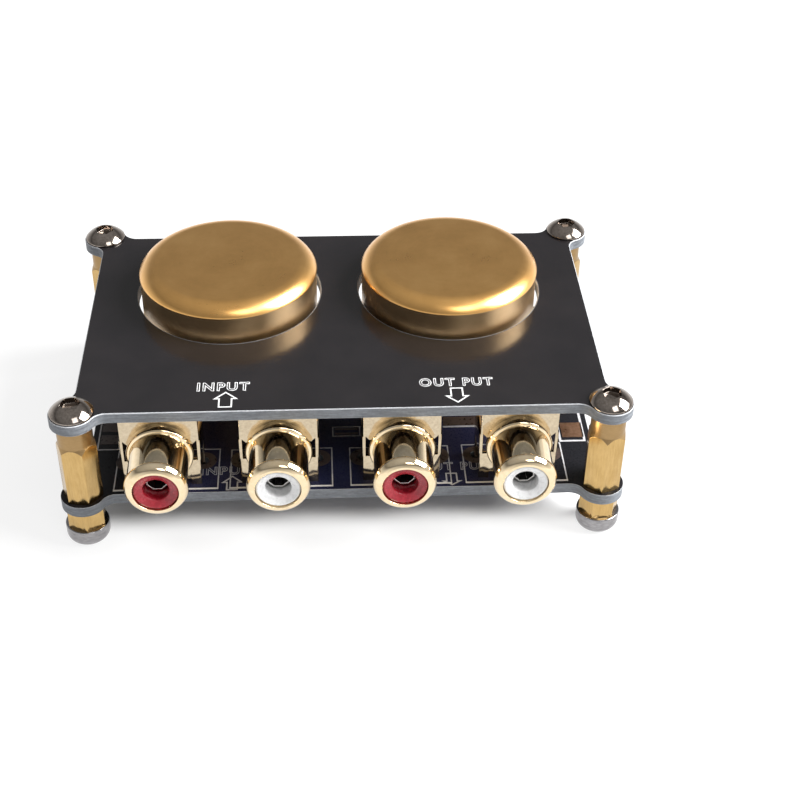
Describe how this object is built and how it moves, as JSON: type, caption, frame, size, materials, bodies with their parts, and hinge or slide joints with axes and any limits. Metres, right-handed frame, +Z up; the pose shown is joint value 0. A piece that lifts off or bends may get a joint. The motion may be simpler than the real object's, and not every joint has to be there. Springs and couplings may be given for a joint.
{
  "type": "passive preamplifier",
  "caption": "Open sandwich-board passive audio preamplifier module with round transformer cans rising through the top board, phono jacks along the front and hex standoffs at the corners.",
  "frame": {"origin": "under the middle of the overall box, on the plane that the feet stand on", "axes": "+X to the right seen from the jacks, +Y away from the jacks to the back, +Z up"},
  "size_m": [0.075, 0.052, 0.0263],
  "materials": {
    "cover_black": "matte black glass-fibre board",
    "board_navy": "glossy dark solder mask",
    "brass": "turned",
    "dark_nickel": "dark nickel plate",
    "foot_silver": "bright zinc",
    "can_gold": "satin gold",
    "core_iron": "dull",
    "copper_wire": "enamelled wire",
    "phenolic": "dull",
    "tinned": "tinned",
    "gold_plate": "polished plate",
    "red_insert": "glossy",
    "white_insert": "glossy",
    "solder": "bright"
  },
  "bodies": {
    "root": {"top_plate": "cover_black", "base_board": "board_navy", "standoffs": "brass", "lower_spacers": "brass", "top_screws": "dark_nickel", "foot_screws": "foot_silver", "left_can": "can_gold", "left_core": "core_iron", "left_primary_winding": "copper_wire", "left_secondary_winding": "copper_wire", "left_disc": "phenolic", "left_pins": "tinned", "right_can": "can_gold", "right_core": "core_iron", "right_primary_winding": "copper_wire", "right_secondary_winding": "copper_wire", "right_disc": "phenolic", "right_pins": "tinned", "input_right_bracket": "gold_plate", "input_right_barrel": "gold_plate", "input_right_insert": "red_insert", "input_right_contact": "tinned", "input_left_bracket": "gold_plate", "input_left_barrel": "gold_plate", "input_left_insert": "white_insert", "input_left_contact": "tinned", "output_right_bracket": "gold_plate", "output_right_barrel": "gold_plate", "output_right_insert": "red_insert", "output_right_contact": "tinned", "output_left_bracket": "gold_plate", "output_left_barrel": "gold_plate", "output_left_insert": "white_insert", "output_left_contact": "tinned", "solder_joints": "solder"}
  },
  "joints": []
}
